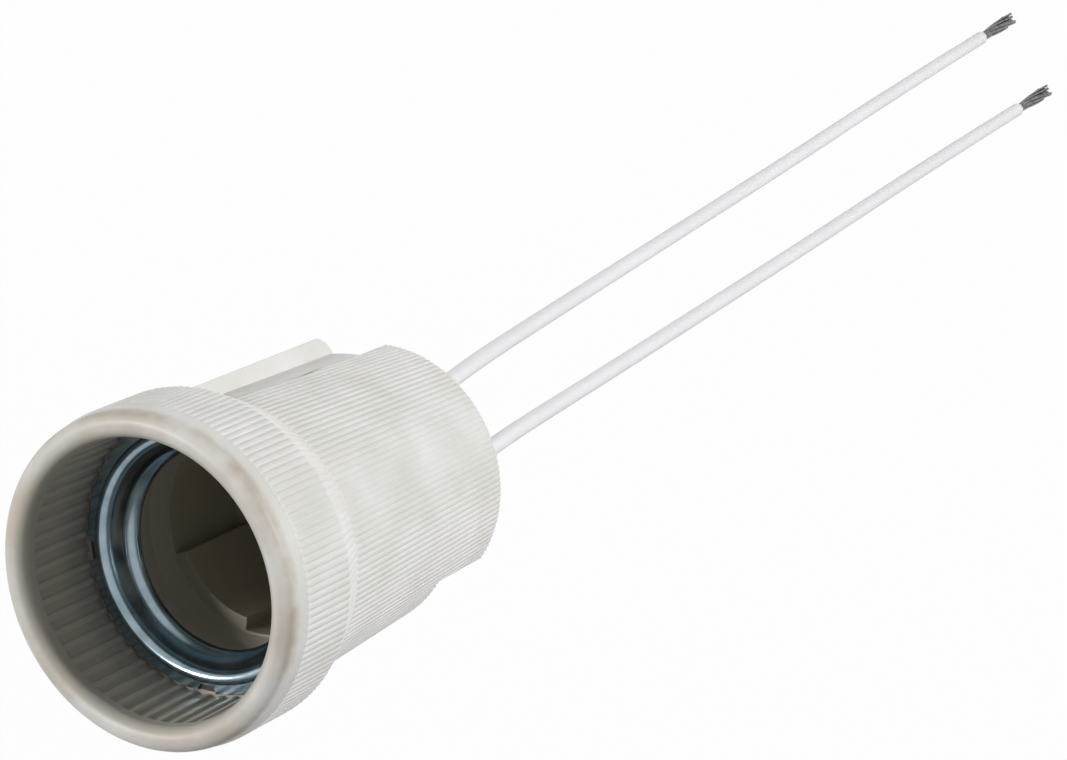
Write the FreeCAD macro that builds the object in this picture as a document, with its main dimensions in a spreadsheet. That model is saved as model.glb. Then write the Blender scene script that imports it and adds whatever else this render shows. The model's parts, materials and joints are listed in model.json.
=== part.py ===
"""E27 porcelain lamp holder with two silicone-insulated leads, as a parametric FreeCAD document.

Frame: millimetres, +Z up towards the mouth, origin on the axis in the plane of the rear end face.
+X is the side of the locating key and the front flat, -X the side of the rear flat.
"""
import FreeCAD, Part
import math
import os

V = FreeCAD.Vector
UP = V(0, 0, 1)

# ---------------------------------------------------------------- driving dimensions
SIZES = [
    # porcelain, outside
    ("body_height", 52.8, "rear end face to mouth plane"),
    ("rim_radius", 20.25, "smooth rim"),
    ("rim_height", 3.2, "smooth rim, mouth plane to the collar"),
    ("lip_round", 1.45, "rounding of the lip, outside and inside"),
    ("collar_radius", 20.55, "crests of the collar's reeds"),
    ("collar_height", 8.8, "reeded collar"),
    ("shoulder_height", 5.6, "cone from the collar to the barrel"),
    ("barrel_top_radius", 18.55, "crests of the barrel's reeds under the collar"),
    ("barrel_end_radius", 16.5, "crests of the barrel's reeds at the rear end face"),
    ("reed_count", 144, "reeds round the collar and round the barrel"),
    ("reed_depth", 0.17, "crest to groove"),
    # porcelain, smooth field with the locating key, and the two flats at the rear
    ("field_top_radius", 17.4, "smooth field round the key, where it meets the shoulder"),
    ("field_end_radius", 16.85, "smooth field round the key, at its rear end"),
    ("field_top_width", 18.8, "smooth field, across at the shoulder"),
    ("field_end_width", 15.2, "smooth field, across at its rear end"),
    ("key_flat", 14.95, "axis to the flat behind the smooth field"),
    ("key_flat_height", 7.2, "rear end face to the smooth field"),
    ("key_radius", 18.85, "axis to the top of the key"),
    ("key_width", 7.6, "key, across"),
    ("key_end", 6.8, "rear end face to the key"),
    ("key_round", 2.6, "rounding of the key's free corner"),
    ("rear_flat", 14.3, "axis to the flat on the other side"),
    ("rear_flat_height", 11.7, "length of the flat on the other side"),
    # porcelain, inside
    ("mouth_radius", 17.15, "bore of the mouth"),
    ("skirt_depth", 12.85, "mouth plane to the seat of the shell's flange"),
    ("ridge_count", 56, "thin ridges round the inside of the skirt"),
    ("ridge_width", 0.55, "ridge, across its crest"),
    ("ridge_height", 0.28, "ridge, above the skirt's bore"),
    ("ridge_start", 2.6, "mouth plane to the ridges"),
    ("ring_depth", 20.9, "mouth plane to the sloping ring behind the shell"),
    ("ring_radius", 13.1, "inner edge of the sloping ring"),
    ("ring_height", 2.4, "height of the sloping ring"),
    ("pocket_radius", 12.8, "contact pocket between its two bosses"),
    ("boss_radius", 11.2, "axis to the inner face of the bosses"),
    ("boss_spread", 60.0, "angle that each boss covers"),
    ("boss_angle", 116.0, "direction of the first boss, from the fin"),
    ("web_top", 15.8, "rear end face to the floor of the contact pocket"),
    ("web_height", 4.0, "floor between the contact pocket and the wiring space"),
    ("wiring_radius", 11.8, "round wiring space at the rear"),
    # screw shell
    ("thread_pitch", 3.629, "Edison thread, E27"),
    ("thread_major", 13.35, "inside of the shell at the thread's root"),
    ("thread_depth", 1.1, "root to crest of the rolled thread"),
    ("thread_turns", 1.15, "turns of thread below the flange"),
    ("thread_end_angle", 187.0, "direction of the root at the shell's lower edge"),
    ("sheet_metal", 0.4, "shell, contact and terminals"),
    ("bead_radius", 15.25, "bead rolled into the flange"),
    ("bead_width", 0.9, "bead, across"),
    ("flange_clearance", 0.25, "flange to the ridges of the skirt"),
    ("shell_clearance", 0.3, "thread to its bore in the porcelain"),
    ("notch_width", 2.3, "notches in the flange's outer edge"),
    ("notch_depth", 0.9, "notches in the flange's outer edge"),
    ("notch_angle", 154.0, "direction of the first notch, from the key"),
    ("notch_step", 83.0, "from the first notch back to the next one of its pair"),
    ("strap_width", 5.0, "strap from the shell to its rivet"),
    ("strap_radius", 12.1, "axis to the strap where it passes through the pocket"),
    # rivets
    ("rivet_radius", 0.9, "rivet shank"),
    ("rivet_head", 2.0, "rivet head radius"),
    ("head_height", 0.6, "rivet head"),
    ("rivet_clearance", 0.1, "rivet shank to its holes"),
    ("shoulder_radius", 1.3, "shoulder of the rivet that the spring contact tilts on"),
    ("shell_rivet_across", 5.5, "shell rivet, behind the plane of the leads"),
    ("contact_rivet_out", 8.6, "axis to the contact rivet"),
    # spring contact
    ("contact_width", 4.6, "spring contact"),
    ("contact_rise", 4.6, "floor of the pocket to the contact's tip"),
    ("contact_play", 0.3, "room above and below the foot of the spring contact"),
    ("contact_foot", 1.8, "foot of the spring contact on each side of its rivet"),
    ("contact_tip", 2.0, "flat of the contact on each side of the axis"),
    # terminals and leads
    ("lead_spacing", 10.2, "between the crimp barrels"),
    ("barrel_height", 6.0, "crimp barrel of a terminal"),
    ("barrel_wall", 0.45, "crimp barrel"),
    ("crimp_clearance", 0.03, "strands to the crimp barrel"),
    ("terminal_width", 3.8, "flat of a terminal"),
    ("lead_diameter", 2.3, "insulated lead"),
    ("core_diameter", 1.3, "tinned copper strands"),
    ("lead_gap", 0.7, "insulation to the crimp barrel"),
    ("tip_length", 16.5, "bare strands at the free end"),
]

doc = FreeCAD.newDocument("LampHolder")
sheet = doc.addObject("Spreadsheet::Sheet", "Sizes")
for row, (alias, value, meaning) in enumerate(SIZES, start=1):
    sheet.set(f"A{row}", meaning)
    sheet.set(f"B{row}", str(value))
    sheet.setAlias(f"B{row}", alias)
doc.recompute()
S = {alias: float(sheet.get(alias)) for alias, _, _ in SIZES}


# ---------------------------------------------------------------- helpers
def bound(kind, name, **formulas):
    """Add a Part primitive whose properties follow the sheet; x, y and z set its place."""
    thing = doc.addObject(kind, name)
    for prop, formula in formulas.items():
        prop = {"x": "Placement.Base.x", "y": "Placement.Base.y", "z": "Placement.Base.z"}.get(prop, prop)
        thing.setExpression(prop, formula)
    return thing


def feature(name, shape):
    thing = doc.addObject("Part::Feature", name)
    thing.Shape = shape
    return thing


def joined(name, *things):
    thing = doc.addObject("Part::MultiFuse", name)
    thing.Shapes = list(things)
    return thing


def cut(name, base, tool):
    thing = doc.addObject("Part::Cut", name)
    thing.Base, thing.Tool = base, tool
    return thing


def polar(radius, angle, height):
    return V(radius * math.cos(angle), radius * math.sin(angle), height)


def turned(points):
    """Solid of revolution about Z of a closed outline of (radius, height) points.

    A point given as (radius, height, "mid") is the middle of an arc between its neighbours.
    """
    edges, i, count = [], 0, len(points)
    spot = lambda p: V(p[0], 0, p[1])
    while i < count:
        here, after = points[i], points[(i + 1) % count]
        if len(after) == 3:
            end = points[(i + 2) % count]
            edges.append(Part.Arc(spot(here), spot(after), spot(end)).toShape())
            i += 2
        else:
            edges.append(Part.LineSegment(spot(here), spot(after)).toShape())
            i += 1
    return Part.Face(Part.Wire(edges)).revolve(V(), UP, 360)


def reeded_section(crest, height, shift=0):
    """Corners of a reeded section: a groove and the two shoulders of a reed, all round."""
    count = int(round(S["reed_count"]))
    step = 2 * math.pi / count
    groove = crest * (1 - S["reed_depth"] / S["collar_radius"])
    return [polar(radius, (i + share + shift) * step, height)
            for i in range(count) for radius, share in ((groove, 0), (crest, 0.3), (crest, 0.7))]


def reeded_skin(*sections):
    """Solid with flat-sided reeds through sections given from the top down."""
    faces = []
    for above, below in zip(sections, sections[1:]):
        for i in range(len(above)):
            k = (i + 1) % len(above)
            faces.append(Part.Face(Part.makePolygon([above[i], above[k], below[k], below[i], above[i]])))
    for end in (sections[0], sections[-1]):
        faces.append(Part.Face(Part.makePolygon(end + end[:1])))
    solid = Part.Solid(Part.Shell(faces))
    if solid.Volume < 0:
        solid.reverse()
    return solid


def strip(points, thickness, width):
    """Bent strip: centre-line points (x, z), mitred at the bends, its width centred on Y."""
    sides = []
    for sign in (1, -1):
        side = []
        for i, point in enumerate(points):
            before = points[max(i - 1, 0)]
            after = points[min(i + 1, len(points) - 1)]
            into = V(point[0] - before[0], 0, point[1] - before[1])
            out = V(after[0] - point[0], 0, after[1] - point[1])
            into = (into if into.Length else out).normalize()
            out = (out if out.Length else into).normalize()
            normals = [V(-d.z, 0, d.x) for d in (into, out)]
            mitre = normals[0] + normals[1]
            mitre = mitre / (1 + normals[0].dot(normals[1]))
            side.append(V(point[0], -width / 2, point[1]) + mitre * (sign * thickness / 2))
        sides.append(side)
    outline = sides[0] + sides[1][::-1]
    return Part.Face(Part.makePolygon(outline + outline[:1])).extrude(V(0, width, 0))


def tube_path(route):
    """Straight runs joined by tangent arcs, and the radius of each arc."""
    edges, start, radii = [], route[0], []
    for i in range(1, len(route) - 1):
        before, here, after = route[i - 1], route[i], route[i + 1]
        into, out = (here - before), (after - here)
        shorter = min(into.Length, out.Length)
        turn = into.getAngle(out)
        set_back = 0.45 * shorter
        radii.append(set_back / math.tan(turn / 2))
        a = here - into.normalize() * set_back
        b = here + out.normalize() * set_back
        chord = (b - a).normalize()
        inward = (after - here).normalize() - (here - before).normalize()
        inward = inward - chord * inward.dot(chord)
        sagitta = radii[-1] * (1 - math.cos(turn / 2))
        middle = (a + b) / 2 - inward.normalize() * sagitta
        edges.append(Part.LineSegment(start, a).toShape())
        edges.append(Part.Arc(a, middle, b).toShape())
        start = b
    edges.append(Part.LineSegment(start, route[-1]).toShape())
    return Part.Wire(edges), radii


def swept(route, diameter):
    path, radii = tube_path(route)
    section = Part.Wire(Part.makeCircle(diameter / 2, route[0], (route[1] - route[0]).normalize()))
    solid = path.makePipeShell([section], True, True)
    expected = math.pi * diameter ** 2 / 4 * path.Length
    print("lead length %.1f mm, radii %s, volume ratio %.4f"
          % (path.Length, [round(r) for r in radii], solid.Volume / expected))
    return solid


# ---------------------------------------------------------------- heights that several pieces share
rim_base = S["body_height"] - S["rim_height"]
collar_base = rim_base - S["collar_height"]
seat = S["body_height"] - S["skirt_depth"]              # the shell's flange lies on this
web_bottom = S["web_top"] - S["web_height"]
thread_mean = S["thread_major"] - S["thread_depth"] / 2   # inside of the sheet, on average
half_depth = S["thread_depth"] / 2
bore_radius = S["thread_major"] + S["sheet_metal"] + S["shell_clearance"]
flange_radius = S["mouth_radius"] - S["flange_clearance"]
lead_out = S["lead_spacing"] / 2

# ---------------------------------------------------------------- porcelain body
r, z = S["rim_radius"], S["body_height"]
lip = S["lip_round"]
nip = lip * (1 - math.sqrt(0.5))
rim = feature("Rim", turned([(0, rim_base), (r, rim_base), (r, z - lip), (r - nip, z - nip, "mid"),
                             (r - lip, z), (0, z)]))
shoulder_base = collar_base - S["shoulder_height"]
taper = (S["barrel_top_radius"] - S["barrel_end_radius"]) / collar_base
# The collar's reeds run down the shoulder and meet those of the barrel half a reed out of step.
collar = feature("Collar", reeded_skin(
    reeded_section(S["collar_radius"], rim_base), reeded_section(S["collar_radius"], collar_base),
    reeded_section(S["barrel_end_radius"] + taper * shoulder_base - S["reed_depth"], shoulder_base)))
barrel = feature("Barrel", reeded_skin(
    reeded_section(S["barrel_top_radius"], collar_base, 0.5),
    reeded_section(S["barrel_end_radius"], 0, 0.5)))

# The smooth field round the key: everything within its tapering width is turned down to its cone.
field_half = [(S["field_end_width"] / 2, S["key_flat_height"]), (S["field_top_width"] / 2, collar_base)]
field_corners = [V(0, side * half, height) for side, ends in ((-1, field_half), (1, field_half[::-1]))
                 for half, height in ends]
field_block = Part.Face(Part.makePolygon(field_corners + field_corners[:1])).extrude(
    V(S["rim_radius"], 0, 0))
field_cone = Part.makeCone(S["field_end_radius"], S["field_top_radius"],
                           collar_base - S["key_flat_height"], V(0, 0, S["key_flat_height"]))
field = feature("SmoothField", field_block.common(field_cone))
beyond_field = feature("BeyondField", field_block.cut(field_cone))
flats = [bound("Part::Box", "KeyFlat", Length="Sizes.rim_radius", Width="2 * Sizes.rim_radius",
               Height="Sizes.key_flat_height", x="Sizes.key_flat", y="-Sizes.rim_radius", z="0"),
         bound("Part::Box", "RearFlat", Length="Sizes.rim_radius", Width="2 * Sizes.rim_radius",
               Height="Sizes.rear_flat_height", x="-Sizes.rear_flat - Sizes.rim_radius",
               y="-Sizes.rim_radius", z="0")]
shaft = cut("Shaft", barrel, joined("SideCuts", beyond_field, *flats))

# The key stands on the field and runs up into the shoulder.
root_x, top_x = (S["wiring_radius"] + S["key_flat"]) / 2, S["key_radius"]
low, high, rounding = S["key_end"], collar_base, S["key_round"]
bulge = rounding * (1 - math.sqrt(0.5))
corner = [V(root_x, 0, low), V(top_x - rounding, 0, low), V(top_x - bulge, 0, low + bulge),
          V(top_x, 0, low + rounding), V(top_x, 0, high), V(root_x, 0, high)]
key_face = Part.Face(Part.Wire([
    Part.LineSegment(corner[0], corner[1]).toShape(), Part.Arc(*corner[1:4]).toShape(),
    Part.LineSegment(corner[3], corner[4]).toShape(), Part.LineSegment(corner[4], corner[5]).toShape(),
    Part.LineSegment(corner[5], corner[0]).toShape()]))
key_face.translate(V(0, -S["key_width"] / 2, 0))
key = feature("Key", key_face.extrude(V(0, S["key_width"], 0)))
outside = joined("Outside", rim, collar, shaft, field, key)

# Inside: mouth with its rounded lip, ridged skirt, shell bore, ring, pocket and wiring space.
m = S["mouth_radius"]
mouth = feature("Mouth", turned([(0, seat), (m, seat), (m, z - lip), (m + nip, z - nip, "mid"),
                                 (m + lip, z), (m + lip, z + lip), (0, z + lip)]))


def ridged_section(height):
    """Section of the skirt between its ridges: wide grooves, stepped in at each ridge."""
    count = int(round(S["ridge_count"]))
    step = 2 * math.pi / count
    half = S["ridge_width"] / 2 / m
    groove = m + S["ridge_height"]
    flank = half + S["ridge_height"] / m
    corners = []
    for i in range(count):
        a = i * step
        corners += [polar(m, a - half, height), polar(m, a + half, height),
                    polar(groove, a + flank, height), polar(groove / math.cos(step / 8), a + step / 2, height),
                    polar(groove, a + step - flank, height)]
    return Part.makePolygon(corners + corners[:1])


skirt = feature("Skirt", Part.Face(ridged_section(seat)).extrude(
    UP * (S["skirt_depth"] - S["ridge_start"])))
shell_bore = feature("ShellBore", Part.makeCylinder(
    bore_radius, S["ring_depth"] - S["skirt_depth"], V(0, 0, z - S["ring_depth"])))
ring_base = z - S["ring_depth"] - S["ring_height"]
ring = feature("Ring", Part.makeCone(S["ring_radius"], bore_radius, S["ring_height"], V(0, 0, ring_base)))


def pocket_section(height):
    """Round pocket with two bosses that stand in from its wall, opposite each other."""
    half = math.radians(S["boss_spread"]) / 2
    edges = []
    for boss in (math.radians(S["boss_angle"]), math.radians(S["boss_angle"]) + math.pi):
        arcs = [(S["boss_radius"], boss - half, boss + half),
                (S["pocket_radius"], boss + half, boss + math.pi - half)]
        for radius, begin, end in arcs:
            middle = (begin + end) / 2
            edges.append(Part.Arc(polar(radius, begin, height), polar(radius, middle, height),
                                  polar(radius, end, height)).toShape())
            other = S["pocket_radius"] + S["boss_radius"] - radius
            edges.append(Part.LineSegment(polar(radius, end, height), polar(other, end, height)).toShape())
    return Part.Face(Part.Wire(edges))


pocket = feature("Pocket", pocket_section(S["web_top"]).extrude(UP * (ring_base - S["web_top"])))
wiring = bound("Part::Cylinder", "WiringSpace", Radius="Sizes.wiring_radius",
               Height="Sizes.web_top - Sizes.web_height", z="0")
hole_sizes = dict(Radius="Sizes.rivet_radius + Sizes.rivet_clearance", Height="Sizes.web_height",
                  z="Sizes.web_top - Sizes.web_height")
contact_hole = bound("Part::Cylinder", "ContactHole", x="Sizes.contact_rivet_out", **hole_sizes)
shell_hole = bound("Part::Cylinder", "ShellHole", x="-Sizes.lead_spacing / 2",
                   y="-Sizes.shell_rivet_across", **hole_sizes)
hollows = joined("Hollows", mouth, skirt, shell_bore, ring, pocket, wiring, contact_hole,
                 shell_hole)
porcelain = cut("PorcelainBody", outside, hollows)

# ---------------------------------------------------------------- screw shell
sheet_t = S["sheet_metal"]
thread_length = S["thread_pitch"] * S["thread_turns"]
end_angle = math.radians(S["thread_end_angle"])


def thread_solid(radius):
    """Rolled Edison thread: a round section whose centre goes round a helix below the flange."""
    steps = int(math.ceil(S["thread_turns"] * 9))
    fade = 0.25 * S["thread_pitch"]
    sections = []
    for i in range(steps + 1):
        drop = thread_length * i / steps
        grow = min(drop / fade, 1.0)
        offset = half_depth * grow * grow * (3 - 2 * grow)
        angle = end_angle + 2 * math.pi * (thread_length - drop) / S["thread_pitch"]
        sections.append(Part.Wire(Part.makeCircle(radius, polar(offset, angle, seat - drop), UP)))
    return Part.makeLoft(sections, True, True)


flange = turned([(thread_mean, seat), (flange_radius, seat), (flange_radius, seat + sheet_t),
                 (S["bead_radius"] + S["bead_width"] / 2, seat + sheet_t),
                 (S["bead_radius"] + S["bead_width"] / 5, seat + sheet_t + S["bead_width"] / 2),
                 (S["bead_radius"] - S["bead_width"] / 5, seat + sheet_t + S["bead_width"] / 2),
                 (S["bead_radius"] - S["bead_width"] / 2, seat + sheet_t),
                 (thread_mean, seat + sheet_t)])
thread = thread_solid(thread_mean + sheet_t).cut(thread_solid(thread_mean))
first, second = S["notch_angle"], S["notch_angle"] - S["notch_step"]
for angle in (first, second, first + 180, second + 180):
    notch = Part.makeBox(2 * S["notch_depth"], S["notch_width"], 3 * sheet_t,
                         V(flange_radius - S["notch_depth"], -S["notch_width"] / 2, seat - sheet_t))
    notch.rotate(V(), UP, angle)
    flange = flange.cut(notch)

# The strap grows out of the shell's lower edge, steps inwards and lies under the shell rivet.
rivet_x, rivet_y = -lead_out, -S["shell_rivet_across"]
rivet_out = math.hypot(rivet_x, rivet_y)
rivet_angle = math.atan2(rivet_y, rivet_x)
edge_radius = thread_mean + sheet_t / 2 + half_depth * math.cos(rivet_angle - end_angle)
thread_end = seat - thread_length
foot_height = S["web_top"] + sheet_t / 2
strap = strip([(edge_radius, thread_end + 1.0), (edge_radius, thread_end - 0.6),
               (S["strap_radius"], z - S["ring_depth"] + 0.4), (S["strap_radius"], foot_height),
               (rivet_out - S["rivet_head"], foot_height)], sheet_t, S["strap_width"])
strap = strap.cut(Part.makeCylinder(S["rivet_radius"] + S["rivet_clearance"], 3 * sheet_t,
                                    V(rivet_out, 0, foot_height - 1.5 * sheet_t)))
strap.rotate(V(), UP, math.degrees(rivet_angle))
screw_shell = feature("ScrewShell", flange.fuse([thread, strap]))

# ---------------------------------------------------------------- spring contact and its rivet
play, out = S["contact_play"], S["contact_rivet_out"]
foot_mid = S["web_top"] + play + sheet_t / 2
tip_mid = S["web_top"] + S["contact_rise"] - sheet_t / 2
contact_shape = strip([(out + S["contact_foot"], foot_mid), (out - S["contact_foot"], foot_mid),
                       (S["contact_tip"], tip_mid), (-S["contact_tip"], tip_mid),
                       (-S["contact_tip"] - 1.2, tip_mid - 0.8)], sheet_t, S["contact_width"])
contact_shape = contact_shape.cut(Part.makeCylinder(
    S["shoulder_radius"] + S["rivet_clearance"], 3 * sheet_t, V(out, 0, foot_mid - 1.5 * sheet_t)))
contact = feature("CentreContact", contact_shape)


def rivet(name, shoulder_height, head_base, x, y):
    """Rivet through the web: shank, head above it and upset tail under the terminal."""
    tail = bound("Part::Cylinder", name + "Tail", Radius="0.8 * Sizes.rivet_head",
                 Height="Sizes.head_height", x=x, y=y,
                 z="Sizes.web_top - Sizes.web_height - Sizes.sheet_metal - Sizes.head_height")
    shank = bound("Part::Cylinder", name + "Shank", Radius="Sizes.rivet_radius",
                  Height="Sizes.web_height + Sizes.sheet_metal + " + head_base, x=x, y=y,
                  z="Sizes.web_top - Sizes.web_height - Sizes.sheet_metal")
    head = bound("Part::Cylinder", name + "Head", Radius="Sizes.rivet_head",
                 Height="Sizes.head_height", x=x, y=y, z="Sizes.web_top + " + head_base)
    things = [tail, shank, head]
    if shoulder_height:
        things.append(bound("Part::Cylinder", name + "Shoulder", Radius="Sizes.shoulder_radius",
                            Height=shoulder_height, x=x, y=y, z="Sizes.web_top"))
    return joined(name, *things)


shoulder_height = "(2 * Sizes.contact_play + Sizes.sheet_metal)"
contact_rivet = rivet("ContactRivet", shoulder_height, shoulder_height, "Sizes.contact_rivet_out", "0")
shell_rivet = rivet("ShellRivet", None, "Sizes.sheet_metal", "-Sizes.lead_spacing / 2",
                    "-Sizes.shell_rivet_across")


# ---------------------------------------------------------------- terminals, leads and bare ends
core_radius = S["core_diameter"] / 2
crimp_bore = core_radius + S["crimp_clearance"]
crimp_outside = crimp_bore + S["barrel_wall"]


def terminal(name, rivet_at, barrel_at):
    """Flat under the web with a rivet hole, and a crimp barrel hanging from its other end."""
    reach = (barrel_at - rivet_at).Length
    width = S["terminal_width"]
    top = web_bottom - sheet_t
    plate = Part.makeBox(reach + width / 2, width, sheet_t, V(0, -width / 2, top))
    plate = plate.fuse([Part.makeCylinder(width / 2, sheet_t, V(0, 0, top)),
                        Part.makeCylinder(crimp_outside, S["barrel_height"] + sheet_t / 2,
                                          V(reach, 0, top - S["barrel_height"]))])
    plate = plate.cut([Part.makeCylinder(S["rivet_radius"] + S["rivet_clearance"], 3 * sheet_t,
                                         V(0, 0, top - sheet_t)),
                       Part.makeCylinder(crimp_bore, S["barrel_height"],
                                         V(reach, 0, top - S["barrel_height"]))])
    thing = feature(name, plate.removeSplitter())
    turn = math.degrees(math.atan2(barrel_at.y - rivet_at.y, barrel_at.x - rivet_at.x))
    thing.Placement = FreeCAD.Placement(rivet_at, FreeCAD.Rotation(UP, turn))
    return thing


contact_terminal = terminal("ContactTerminal", V(out, 0, 0), V(lead_out, 0, 0))
shell_terminal = terminal("ShellTerminal", V(rivet_x, rivet_y, 0), V(-lead_out, 0, 0))

lead_top = web_bottom - sheet_t - S["barrel_height"] - S["lead_gap"]
LEADS = {
    "Contact": [V(lead_out, 0, lead_top), V(lead_out, 0, -7), V(7.9, 0.5, -24), V(10.6, 1.0, -54),
                V(13.9, 1.0, -91), V(17.7, 0.6, -133), V(21.9, 0.5, -176), V(25.4, 0.8, -217.6)],
    "Shell": [V(-lead_out, 0, lead_top), V(-lead_out, 0, -7), V(-2.7, 0.5, -25), V(-0.8, 0.9, -55),
              V(1.8, 0.8, -92), V(4.9, 0.4, -134), V(8.3, 0.5, -178), V(11.1, 0.9, -221)],
}
leads = {}
for side, route in LEADS.items():
    onwards = (route[-1] - route[-2]).normalize()
    start = route[0]
    depth = S["barrel_height"] - 0.5 + S["lead_gap"]
    leads["Lead" + side] = swept(route, S["lead_diameter"])
    leads["Strands" + side] = Part.makeCylinder(core_radius, depth, start)
    leads["Tip" + side] = Part.makeCylinder(core_radius, S["tip_length"], route[-1], onwards)
leads = {name: feature(name, shape) for name, shape in leads.items()}

doc.recompute()

# ---------------------------------------------------------------- names, tests and export
NODES = {
    "porcelain_body": porcelain,
    "screw_shell": screw_shell,
    "shell_rivet": shell_rivet,
    "centre_contact": contact,
    "contact_rivet": contact_rivet,
    "contact_terminal": contact_terminal,
    "shell_terminal": shell_terminal,
    "lead_contact": leads["LeadContact"],
    "lead_shell": leads["LeadShell"],
    "lead_contact_strands": leads["StrandsContact"],
    "lead_shell_strands": leads["StrandsShell"],
    "lead_contact_tip": leads["TipContact"],
    "lead_shell_tip": leads["TipShell"],
}
for label, thing in NODES.items():
    thing.Label = label
doc.recompute()

failed = [o.Name for o in doc.Objects if set(o.State) & {"Invalid", "Error"}]
if failed:
    raise RuntimeError("these objects failed: " + ", ".join(failed))
for label, thing in NODES.items():
    if thing.Shape.isNull() or not thing.Shape.isValid():
        raise RuntimeError(label + " has no valid shape")
    if len(thing.Shape.Solids) != 1:
        raise RuntimeError("%s has %d solids" % (label, len(thing.Shape.Solids)))

os.makedirs("parts", exist_ok=True)
for label, thing in NODES.items():
    thing.Shape.exportStep("parts/%s.step" % label)
    box = thing.Shape.BoundBox
    print("%-22s %8.1f mm3  z %.1f to %.1f" % (label, thing.Shape.Volume, box.ZMin, box.ZMax))
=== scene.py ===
"""Looks of the porcelain lamp holder: materials, leads, bare strands, light and camera. Metres."""
import json
import math

import bpy
from mathutils import Matrix, Vector


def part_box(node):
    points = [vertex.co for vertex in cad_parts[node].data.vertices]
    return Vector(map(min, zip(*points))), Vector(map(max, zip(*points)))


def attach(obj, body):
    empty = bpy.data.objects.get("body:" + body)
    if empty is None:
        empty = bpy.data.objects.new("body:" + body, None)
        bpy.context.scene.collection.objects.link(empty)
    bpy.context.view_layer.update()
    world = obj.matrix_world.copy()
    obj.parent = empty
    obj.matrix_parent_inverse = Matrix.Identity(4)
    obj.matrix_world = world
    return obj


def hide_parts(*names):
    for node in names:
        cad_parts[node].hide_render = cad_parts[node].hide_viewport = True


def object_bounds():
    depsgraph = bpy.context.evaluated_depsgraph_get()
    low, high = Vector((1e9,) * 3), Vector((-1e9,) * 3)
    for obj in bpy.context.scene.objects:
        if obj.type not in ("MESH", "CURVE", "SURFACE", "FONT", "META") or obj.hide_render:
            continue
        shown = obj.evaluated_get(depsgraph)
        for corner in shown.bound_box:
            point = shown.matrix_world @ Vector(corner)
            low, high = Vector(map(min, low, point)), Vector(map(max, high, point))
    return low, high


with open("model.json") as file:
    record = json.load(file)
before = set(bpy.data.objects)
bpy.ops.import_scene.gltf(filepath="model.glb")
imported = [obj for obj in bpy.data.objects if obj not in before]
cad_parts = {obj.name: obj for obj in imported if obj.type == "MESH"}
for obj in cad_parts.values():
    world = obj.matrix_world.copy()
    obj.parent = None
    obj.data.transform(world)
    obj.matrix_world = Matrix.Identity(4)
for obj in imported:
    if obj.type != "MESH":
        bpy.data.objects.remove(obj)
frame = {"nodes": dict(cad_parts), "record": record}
CAD_BOX = [list(corner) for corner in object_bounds()]
scene = bpy.context.scene

# ---------------------------------------------------------------- camera
CAMERA_AT = Vector((0.016644, -0.25945, 0.359057))
CAMERA_FORWARD = Vector((-0.02896, 0.54574, -0.83746))
CAMERA_UP = Vector((0.9275, -0.2977, -0.22607))
LENS_MM, SENSOR_MM = 118.1, 36.0
CLIP_NEAR, CLIP_FAR = 0.01, 20.0

forward = CAMERA_FORWARD.normalized()
right = forward.cross(CAMERA_UP).normalized()
up = right.cross(forward)
turn = Matrix((right, up, -forward)).transposed().to_4x4()
camera_data = bpy.data.cameras.new("camera")
camera_data.lens, camera_data.sensor_width = LENS_MM, SENSOR_MM
camera_data.clip_start, camera_data.clip_end = CLIP_NEAR, CLIP_FAR
camera = bpy.data.objects.new("camera", camera_data)
camera.matrix_world = Matrix.Translation(CAMERA_AT) @ turn
scene.collection.objects.link(camera)
scene.camera = camera


# ---------------------------------------------------------------- node helpers
def material(name):
    """New material, its node tree and its Principled shader."""
    made = bpy.data.materials.new(name)
    made.use_nodes = True
    tree = made.node_tree
    return made, tree, tree.nodes["Principled BSDF"]


def node(tree, kind, **values):
    """New node with its input sockets or properties set."""
    made = tree.nodes.new(kind)
    for key, value in values.items():
        if key in made.inputs:
            made.inputs[key].default_value = value
        else:
            setattr(made, key, value)
    return made


def linear(red, green, blue):
    """Scene-linear colour of sRGB bytes."""
    def channel(c):
        c /= 255
        return c / 12.92 if c <= 0.04045 else ((c + 0.055) / 1.055) ** 2.4
    return (channel(red), channel(green), channel(blue), 1.0)


def noise_on(tree, scale, detail):
    """Noise texture in object space."""
    place = node(tree, "ShaderNodeTexCoord")
    noise = node(tree, "ShaderNodeTexNoise", Scale=scale, Detail=detail)
    tree.links.new(place.outputs["Object"], noise.inputs["Vector"])
    return noise.outputs["Fac"]


def mottled(tree, low, high, scale, detail):
    """Noise, and a colour that drifts with it between two tones."""
    noise = noise_on(tree, scale, detail)
    ramp = node(tree, "ShaderNodeValToRGB")
    for stop, tone, position in zip(ramp.color_ramp.elements, (low, high), (0.3, 0.7)):
        stop.color, stop.position = tone, position
    tree.links.new(noise, ramp.inputs["Fac"])
    return noise, ramp.outputs["Color"]


def grain(tree, shader, scale, depth, strength):
    """Fine bump from noise, with its depth in metres."""
    bump = node(tree, "ShaderNodeBump", Strength=strength, Distance=depth)
    tree.links.new(noise_on(tree, scale, 3.0), bump.inputs["Height"])
    tree.links.new(bump.outputs["Normal"], shader.inputs["Normal"])
    return bump


def rough_between(tree, shader, noise, low, high):
    """Roughness that drifts with the noise."""
    spread = node(tree, "ShaderNodeMapRange")
    spread.inputs["To Min"].default_value = low
    spread.inputs["To Max"].default_value = high
    tree.links.new(noise, spread.inputs["Value"])
    tree.links.new(spread.outputs["Result"], shader.inputs["Roughness"])


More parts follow.
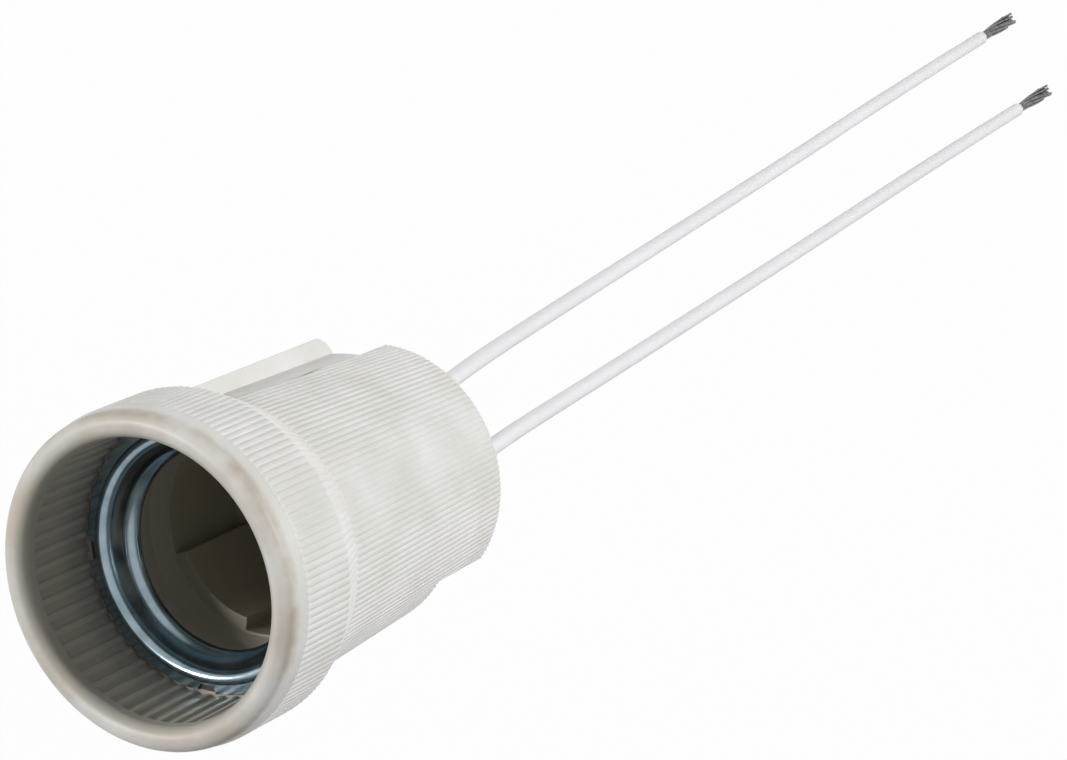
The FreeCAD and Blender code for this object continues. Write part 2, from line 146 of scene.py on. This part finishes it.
def math_node(tree, operation, *inputs):
    """Math node fed by sockets or numbers."""
    made = node(tree, "ShaderNodeMath", operation=operation)
    for socket, value in zip(made.inputs, inputs):
        if isinstance(value, (int, float)):
            socket.default_value = value
        else:
            tree.links.new(value, socket)
    return made.outputs[0]


def product(tree, first, *others):
    """Product of sockets."""
    for other in others:
        first = math_node(tree, "MULTIPLY", first, other)
    return first


def ramped(tree, source, low, high, to_low=0.0, to_high=1.0):
    """Smooth step of a socket between two values."""
    spread = node(tree, "ShaderNodeMapRange", interpolation_type="SMOOTHSTEP")
    values = {"From Min": low, "From Max": high, "To Min": to_low, "To Max": to_high}
    for name, value in values.items():
        spread.inputs[name].default_value = value
    tree.links.new(source, spread.inputs["Value"])
    return spread.outputs["Result"]


def toned(tree, factor, below, tone):
    """Mix a colour socket towards a tone."""
    mix = node(tree, "ShaderNodeMix", data_type="RGBA")
    mix.inputs[7].default_value = tone
    tree.links.new(factor, mix.inputs[0])
    tree.links.new(below, mix.inputs[6])
    return mix.outputs[2]


def seen_white(tree, shader_output, target, share):
    """Mix a shader with plain white for rays from the camera, mirrors and glass."""
    path = node(tree, "ShaderNodeLightPath")
    seen = math_node(tree, "MAXIMUM", path.outputs["Is Camera Ray"],
                     path.outputs["Is Glossy Ray"])
    seen = math_node(tree, "MAXIMUM", seen, path.outputs["Is Transmission Ray"])
    white = node(tree, "ShaderNodeEmission", Color=(1, 1, 1, 1), Strength=1.0)
    mix = node(tree, "ShaderNodeMixShader")
    tree.links.new(math_node(tree, "MULTIPLY", seen, share), mix.inputs["Fac"])
    tree.links.new(shader_output, mix.inputs[1])
    tree.links.new(white.outputs[0], mix.inputs[2])
    tree.links.new(mix.outputs[0], target)


# ---------------------------------------------------------------- materials
FLANGE_STANDS = 0.00085                                   # shell's top above its seat
MOUTH_CLEARANCE = 0.00025                                 # shell's flange to the skirt's wall
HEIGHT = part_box("porcelain_body")[1][2]                   # top of the rim
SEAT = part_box("screw_shell")[1][2] - FLANGE_STANDS        # plane that the flange lies on
FLANGE_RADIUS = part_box("screw_shell")[1][0]
MOUTH_RADIUS = FLANGE_RADIUS + MOUTH_CLEARANCE

# Tones of the porcelain, as sRGB bytes: the glaze, the lip's tint and wear, and painted shade
# inside.
GLAZE_DARK, GLAZE_LIGHT = (216, 215, 209), (232, 231, 228)
LIP_TONE = (202, 192, 179)
WORN_TONE = (170, 156, 138)
# Painted shade on the skirt's wall and on the lip's inner rounding.
SKIRT_SHADE_TONE = (192, 187, 175)
# Deeper painted shade low on the skirt's wall, near the seat.
LOW_SKIRT_SHADE_TONE = (96, 92, 84)
# Painted shade in the pocket below the seat.
POCKET_SHADE_TONE = (156, 148, 134)
# Painted shadow on the seat under the flange, seen through its notches.
UNDER_FLANGE_SHADE_TONE = (58, 54, 48)

# Zones of the porcelain, most of them masks for painted shade. Heights run down from the rim or up
# from the shell's seat.
BORE_INSIDE = 0.0146                # radius of what counts as inside, below the seat
SKIRT_INSIDE = 0.0014               # the same above the seat, out from the mouth's wall
WALL_SHADE_FADES = (0.0013, 0.0004)       # out from the mouth's wall
SHADE_STARTS = (0.001, 0.002)       # below the rim
POCKET_SHADE_REACH = 0.012                  # below the seat
LIP_FADES = (0.003, 0.0008)         # below the rim
WORN_LOW = (0.0024, 0.0013)         # below the rim
WORN_HIGH = (0.0001, 0.0008)        # below the rim
WORN_RADIUS = 0.0187
# Painted shade is lighter on the ridge crests than in the grooves, a painted highlight on the
# crests.
GROOVE_SHADE_FADES = (0.00003, 0.0002)    # out from the mouth's wall
# Painted shadow on the seat under the flange.
UNDER_FLANGE_SHADE_HEIGHT = 0.0003                 # above the seat
UNDER_FLANGE_SHADE_RADIUS, UNDER_FLANGE_SHADE_GAP = 0.0152, 0.00035
# Painted shade on the skirt's wall near the seat.
LOW_SKIRT_SHADE_FADES = (0.007, 0.0008)        # above the seat
LOW_SKIRT_SHADE_RADIUS = 0.0155
EDGE_RADIUS = 0.00022               # glaze rounds every sharp edge


def glazed_porcelain():
    """Mottled glaze, stained and worn at the lip, with painted shade inside the skirt, near the
    seat, in the pocket and under the flange.
    """
    made, tree, shader = material("porcelain")
    noise, glaze = mottled(tree, linear(*GLAZE_DARK), linear(*GLAZE_LIGHT), 110, 8.0)
    stains = noise_on(tree, 130.0, 5.0)
    place = node(tree, "ShaderNodeTexCoord")
    parts = node(tree, "ShaderNodeSeparateXYZ")
    tree.links.new(place.outputs["Object"], parts.inputs[0])
    x, y, height = parts.outputs
    radius = math_node(tree, "SQRT", math_node(
        tree, "ADD", math_node(tree, "POWER", x, 2.0), math_node(tree, "POWER", y, 2.0)))

    def below_rim(fades, *to):
        return ramped(tree, height, *(HEIGHT - fade for fade in fades), *to)

    def above_seat(fades, *to):
        return ramped(tree, height, *(SEAT + fade for fade in fades), *to)

    def beyond_mouth(fades, *to):
        return ramped(tree, radius, *(MOUTH_RADIUS + fade for fade in fades), *to)

    inner_edge = above_seat((-0.0004, -0.0001), BORE_INSIDE, MOUTH_RADIUS + SKIRT_INSIDE)
    inside = math_node(tree, "LESS_THAN", radius, inner_edge)
    lip = product(tree, below_rim(LIP_FADES, 0.0, 0.95), ramped(tree, stains, 0.35, 0.68, 0.1, 1.0))
    worn = product(tree, below_rim(WORN_LOW), below_rim(WORN_HIGH),
                   math_node(tree, "GREATER_THAN", radius, WORN_RADIUS),
                   ramped(tree, stains, 0.4, 0.62, 0.12, 0.6))
    # Painted shade on the skirt's wall and the lip's inner rounding, lighter on the ridge crests
    # than in the grooves.
    shaded_wall = math_node(tree, "MAXIMUM", beyond_mouth(WALL_SHADE_FADES), below_rim(SHADE_STARTS))
    skirt_shade = product(tree, inside, shaded_wall, beyond_mouth(GROOVE_SHADE_FADES, 0.7, 1.0))
    # Painted shade that deepens down the skirt's wall towards the seat.
    low_skirt_shade = product(tree, inside, above_seat(LOW_SKIRT_SHADE_FADES, 0.0, 0.42),
                   math_node(tree, "GREATER_THAN", radius, LOW_SKIRT_SHADE_RADIUS))
    # Painted shade in the pocket below the seat.
    pocket_shade = product(tree, inside, above_seat((0, -POCKET_SHADE_REACH)))
    # Painted shadow on the seat under the flange, dark where the notches show it.
    under_flange_shade = product(tree, inside, math_node(tree, "LESS_THAN", height, SEAT + UNDER_FLANGE_SHADE_HEIGHT),
                  math_node(tree, "GREATER_THAN", radius, UNDER_FLANGE_SHADE_RADIUS),
                  math_node(tree, "LESS_THAN", radius, MOUTH_RADIUS - UNDER_FLANGE_SHADE_GAP))
    colour = glaze
    for factor, tone in ((lip, LIP_TONE), (worn, WORN_TONE), (skirt_shade, SKIRT_SHADE_TONE),
                         (low_skirt_shade, LOW_SKIRT_SHADE_TONE), (pocket_shade, POCKET_SHADE_TONE), (under_flange_shade, UNDER_FLANGE_SHADE_TONE)):
        colour = toned(tree, factor, colour, linear(*tone))
    tree.links.new(colour, shader.inputs["Base Color"])

    rough_between(tree, shader, noise, 0.42, 0.55)
    bump = grain(tree, shader, 1100, 0.00007, 0.55)
    edges = node(tree, "ShaderNodeBevel", Radius=EDGE_RADIUS)
    edges.samples = 6
    tree.links.new(edges.outputs[0], bump.inputs["Normal"])
    shader.inputs["Coat Weight"].default_value = 0.1
    shader.inputs["Coat Roughness"].default_value = 0.3
    return made


def drifting(name, low, high, scale, rough, fine=None, metallic=0.0):
    """Material whose colour and roughness drift together, with a fine bump."""
    made, tree, shader = material(name)
    noise, colour = mottled(tree, linear(*low), linear(*high), scale, 4.0)
    tree.links.new(colour, shader.inputs["Base Color"])
    rough_between(tree, shader, noise, *rough)
    if fine:
        grain(tree, shader, *fine)
    shader.inputs["Metallic"].default_value = metallic
    return made


porcelain = glazed_porcelain()
zinc = drifting("zinc_steel", (112, 134, 144), (156, 172, 180), 260, (0.16, 0.27),
                (3200, 0.00002, 0.25), 1.0)
brass = drifting("brass", (196, 164, 98), (214, 184, 120), 240, (0.26, 0.4),
                 (2500, 0.00002, 0.2), 1.0)
silicone = drifting("silicone", (236, 236, 238), (242, 242, 244), 60, (0.5, 0.62),
                    (400, 0.00001, 0.08))
tinned = drifting("tinned_strands", (72, 72, 72), (142, 142, 140), 1400, (0.25, 0.42),
                  metallic=1.0)

LOOKS = {"porcelain": porcelain, "zinc_steel": zinc, "brass": brass, "silicone": silicone,
         "tinned_strands": tinned}
for part in frame["record"]["subparts"]:
    for slot in frame["nodes"][part["node"]].material_slots:
        slot.link = "OBJECT"
        slot.material = LOOKS[part["material_slot"]]


# ---------------------------------------------------------------- mesh helpers
def mesh_piece(name, points, faces, look, slot, *nodes):
    """Smooth mesh that rides on the holder and stands for the named CAD nodes."""
    mesh = bpy.data.meshes.new(name)
    mesh.from_pydata(points, [], faces)
    mesh.update()
    mesh.shade_smooth()
    mesh.materials.append(look)
    piece = bpy.data.objects.new(name, mesh)
    scene.collection.objects.link(piece)
    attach(piece, "holder")
    if nodes:
        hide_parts(*nodes)
    return piece


def grid_faces(rows, columns, closed_rows=False, closed_columns=True):
    """Quads of a grid of points laid out row by row."""
    return [(i * columns + j, i * columns + (j + 1) % columns,
             (i + 1) % rows * columns + (j + 1) % columns, (i + 1) % rows * columns + j)
            for i in range(rows if closed_rows else rows - 1)
            for j in range(columns if closed_columns else columns - 1)]


def angles_round(count):
    """Equal steps round a circle."""
    return [2 * math.pi * k / count for k in range(count)]


def thickened(piece, thickness, offset):
    """Give a sheet its thickness."""
    sheet = piece.modifiers.new("sheet", "SOLIDIFY")
    sheet.thickness, sheet.offset = thickness, offset


# ---------------------------------------------------------------- screw shell
SHEET = 0.0004
THREAD_MEAN, HALF_DEPTH, PITCH, TURNS = 0.0128, 0.00055, 0.003629, 1.15
THREAD_STARTS, THREAD_GROWS = 0.0006, 0.0009
THREAD_TOP = 0.0016
END_ANGLE = math.radians(187)
THREAD_ROWS, AROUND = 35, 432
NOTCH_HALF, NOTCH_DEPTH, NOTCH_SQUARENESS = 0.00125, 0.0009, 1.8
NOTCHES = [math.radians(a) for a in (154, 71, 334, 251)]
# Profile of the rolled flange: inwards from its edge, up from the sheet.
ROLL = [(0.0, 0.0), (0.00004, 0.0), (0.00115, 0.0), (0.0012, 0.0), (0.00128, 0.00008),
        (0.00136, 0.00036), (0.00155, 0.00056), (0.0019, 0.00066), (0.0023, 0.00058),
        (0.00268, 0.0003), (0.00296, -0.0001), (0.00316, -0.0006), (0.0033, -0.0011)]


def thread_radius(angle, drop):
    """Radius of the rolled thread at a depth below the flange's seat."""
    grow = max(0.0, min((drop - THREAD_STARTS) / THREAD_GROWS, 1.0))
    turned = angle - END_ANGLE - 2 * math.pi * (PITCH * TURNS - drop) / PITCH
    return THREAD_MEAN + HALF_DEPTH * grow * math.cos(turned)


def flange_edge(angle):
    """Outer edge of the flange, drawn in at the rounded notches."""
    depth = 0.0
    for notch in NOTCHES:
        off = (angle - notch + math.pi) % (2 * math.pi) - math.pi
        share = abs(off) * FLANGE_RADIUS / NOTCH_HALF
        if share < 1:
            depth = NOTCH_DEPTH * min(1.0, NOTCH_SQUARENESS * math.sqrt(1 - share * share))
    return FLANGE_RADIUS - depth


angles = angles_round(AROUND)
rows = [[((FLANGE_RADIUS if inward > NOTCH_DEPTH else flange_edge(a)) - inward,
          SEAT + SHEET + rise) for a in angles] for inward, rise in ROLL]
for k in range(THREAD_ROWS):
    drop = THREAD_TOP + (PITCH * TURNS - THREAD_TOP) * k / (THREAD_ROWS - 1)
    rows.append([(thread_radius(a, drop), SEAT - drop) for a in angles])
points = [(r * math.cos(a), r * math.sin(a), z) for row in rows for a, (r, z) in zip(angles, row)]
shell = mesh_piece("shell_sheet", points, grid_faces(len(rows), AROUND), zinc, "zinc_steel",
                   "screw_shell")
thickened(shell, SHEET * 0.95, -1.0)

# The strap from the shell's edge down to its rivet on the floor of the pocket.
STRAP = [(0.0131, SEAT - 0.0036), (0.0131, SEAT - 0.0048), (0.0124, SEAT - 0.0072),
         (0.0121, SEAT - 0.0084), (0.0121, 0.0172), (0.01195, 0.0163), (0.0114, 0.016),
         (0.0056, 0.016)]                                 # from the axis, height
STRAP_ANGLE = math.atan2(-0.0055, -0.0051)
STRAP_HALF = 0.0025
STRAP_ACROSS = (-1, -0.92, 0, 0.92, 1)
STRAP_ROUND = 0.00008

across = Vector((-math.sin(STRAP_ANGLE), math.cos(STRAP_ANGLE), 0))
outwards = Vector((math.cos(STRAP_ANGLE), math.sin(STRAP_ANGLE), 0))
points = [outwards * r + across * (STRAP_HALF * share) + Vector((0, 0, z))
          for r, z in STRAP for share in STRAP_ACROSS]
strap = mesh_piece("shell_strap", points,
                   grid_faces(len(STRAP), len(STRAP_ACROSS), closed_columns=False), zinc,
                   "zinc_steel", "screw_shell")
thickened(strap, SHEET * 0.9, 0.0)
softer = strap.modifiers.new("softer", "BEVEL")
softer.width, softer.segments = STRAP_ROUND, 2

# ---------------------------------------------------------------- glaze of the rim
# The reeds of the collar fade out under this ring: radius, depth below the rim's top.
RUNOUT = [(0.02023, 0.00144), (0.02031, 0.0021), (0.02042, 0.0027), (0.02052, 0.0031),
          (0.020549, 0.0033), (0.02052, 0.0036), (0.02046, 0.0039), (0.02036, 0.0042),
          (0.0199, 0.0046)]
RIM_AROUND = 288

points = [(r * math.cos(a), r * math.sin(a), HEIGHT - below)
          for r, below in RUNOUT for a in angles_round(RIM_AROUND)]
mesh_piece("rim_glaze", points, [face[::-1] for face in grid_faces(len(RUNOUT), RIM_AROUND)],
           porcelain, "porcelain")

# ---------------------------------------------------------------- leads
LEAD_DIAMETER = 0.0023
LEAD_OUT = 0.0051
LEAD_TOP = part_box("lead_contact")[1][2]
ROUTES = {
    "contact": [(LEAD_OUT, 0, LEAD_TOP), (LEAD_OUT, 0, -0.007), (0.0079, 0.0005, -0.024),
                (0.0106, 0.001, -0.054), (0.0139, 0.001, -0.091), (0.0177, 0.0006, -0.133),
                (0.0219, 0.0005, -0.176), (0.0254, 0.0008, -0.2176)],
    "shell": [(-LEAD_OUT, 0, LEAD_TOP), (-LEAD_OUT, 0, -0.007), (-0.0027, 0.0005, -0.025),
              (-0.0008, 0.0009, -0.055), (0.0018, 0.0008, -0.092), (0.0049, 0.0004, -0.134),
              (0.0083, 0.0005, -0.178), (0.0111, 0.0009, -0.221)],
}
TIP_LENGTH = 0.0165
STRANDS, STRAND_RADIUS, STRAND_RINGS, STRAND_SIDES = 19, 0.0002, 14, 8
ROOT_SPREAD, END_SPREAD, FAN_POWER, TWIST = 0.00042, 0.00118, 0.7, 1.4
FLATNESS = 0.8                                            # the bundle is a little oval
GOLDEN_ANGLE = 2.39996
REACH, CUT_SLANT, CUT_ANGLE, RAGGED = 0.9, 0.05, 0.6, 0.05
STRAND_ROOT = 0.0004                                      # how far strands start inside
SLEEVE_ROUND, SLEEVE_BACK = 0.0005, 0.0003
SLEEVE_SIDES, SLEEVE_STEPS = 48, 8


def frame_along(direction):
    """Two directions square to a direction."""
    side = direction.cross(Vector((0, 1, 0))).normalized()
    return side, direction.cross(side)


def circles(start, direction, rings, sides):
    """Points of rings square to a direction, each given by radius and distance along."""
    side, other = frame_along(direction)
    return [start + direction * along + side * (r * math.cos(a)) + other * (r * math.sin(a))
            for r, along in rings for a in angles_round(sides)]


def bare_strands(name, start, direction, cad_tip):
    """Bundle of twisted strands that fans out towards its obliquely cut end."""
    side, other = frame_along(direction)
    points, faces = [], []
    for k in range(STRANDS):
        angle, share = GOLDEN_ANGLE * k, math.sqrt((k + 0.5) / STRANDS)
        reach = TIP_LENGTH * (REACH + CUT_SLANT * math.cos(angle - CUT_ANGLE)
                              + RAGGED * math.sin(5.3 * k))
        first = len(points)
        for i in range(STRAND_RINGS):
            t = i / (STRAND_RINGS - 1)
            spread = share * (ROOT_SPREAD + (END_SPREAD - ROOT_SPREAD) * t ** FAN_POWER)
            turned = angle + TWIST * t
            centre = (start + side * (spread * math.cos(turned))
                      + other * (FLATNESS * spread * math.sin(turned)))
            points += circles(centre, direction, [(STRAND_RADIUS, reach * t - STRAND_ROOT)],
                              STRAND_SIDES)
        last = len(points) - STRAND_SIDES
        faces += [tuple(first + corner for corner in face)
                  for face in grid_faces(STRAND_RINGS, STRAND_SIDES)]
        faces += [tuple(range(first, first + STRAND_SIDES))[::-1],
                  tuple(range(last, last + STRAND_SIDES))]
    return mesh_piece(name, points, faces, tinned, "tinned_strands", cad_tip)


def sleeve_end(name, start, direction):
    """Rounded end of the insulation round the strands."""
    outer, bore = LEAD_DIAMETER / 2, ROOT_SPREAD + STRAND_RADIUS * 0.6
    quarter = [math.pi / 2 * k / SLEEVE_STEPS for k in range(SLEEVE_STEPS + 1)]
    profile = [(outer * 0.999, -SLEEVE_BACK)]
    profile += [(outer - SLEEVE_ROUND * (1 - math.cos(a)), SLEEVE_ROUND * math.sin(a))
                for a in quarter]
    profile += [(bore, SLEEVE_ROUND * 0.85), (bore, -SLEEVE_BACK)]
    return mesh_piece(name, circles(start, direction, profile, SLEEVE_SIDES),
                      grid_faces(len(profile), SLEEVE_SIDES, closed_rows=True), silicone,
                      "silicone")


for name, route in ROUTES.items():
    curve = bpy.data.curves.new("lead_%s_insulation" % name, "CURVE")
    curve.dimensions = "3D"
    curve.bevel_depth = LEAD_DIAMETER / 2
    curve.bevel_resolution = 8
    curve.use_fill_caps = True
    spline = curve.splines.new("NURBS")
    spline.points.add(len(route) - 1)
    for point, spot in zip(spline.points, route):
        point.co = (*spot, 1.0)
    spline.order_u = 3
    spline.use_endpoint_u = True
    spline.resolution_u = 24
    lead = bpy.data.objects.new(curve.name, curve)
    scene.collection.objects.link(lead)
    curve.materials.append(silicone)
    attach(lead, "holder")
    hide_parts("lead_" + name)
    end = Vector(route[-1])
    onwards = (end - Vector(route[-2])).normalized()
    tip = bare_strands("lead_%s_bare" % name, end, onwards, "lead_%s_tip" % name)
    sleeve = sleeve_end("lead_%s_sleeve_end" % name, end, onwards)

# ---------------------------------------------------------------- floor, world and lamps
FLOOR_DROP, FLOOR_SIZE, FLOOR_WHITE = 0.03, 6, 0.97
WORLD_STRENGTH = 0.17

bpy.ops.mesh.primitive_plane_add(size=FLOOR_SIZE, location=(0, 0, CAD_BOX[0][2] - FLOOR_DROP))
floor = bpy.context.object
floor.name = "floor"
floor_look, tree, shader = material("floor")
shader.inputs["Base Color"].default_value = (0.85, 0.85, 0.85, 1)
shader.inputs["Roughness"].default_value = 0.9
seen_white(tree, shader.outputs[0], tree.nodes["Material Output"].inputs["Surface"], FLOOR_WHITE)
floor.data.materials.append(floor_look)

world = bpy.data.worlds.new("world")
scene.world = world
world.use_nodes = True
background = world.node_tree.nodes["Background"]
background.inputs["Color"].default_value = (1, 1, 1, 1)
background.inputs["Strength"].default_value = WORLD_STRENGTH
seen_white(world.node_tree, background.outputs[0],
           world.node_tree.nodes["World Output"].inputs["Surface"], 1.0)


def area_light(name, place, target, size, watts):
    """Round lamp that faces a point."""
    data = bpy.data.lights.new(name, "AREA")
    data.shape, data.size, data.energy = "DISK", size, watts
    lamp = bpy.data.objects.new(name, data)
    lamp.location = place
    lamp.rotation_euler = (Vector(target) - Vector(place)).to_track_quat("-Z", "Y").to_euler()
    scene.collection.objects.link(lamp)


area_light("key", (0.02, -0.95, -0.03), (0, 0, 0.02), 0.3, 5.5)
area_light("above", (0.4, 0.34, 0.82), (0, 0, 0.04), 0.3, 5.9)

scene.view_settings.view_transform = "Standard"
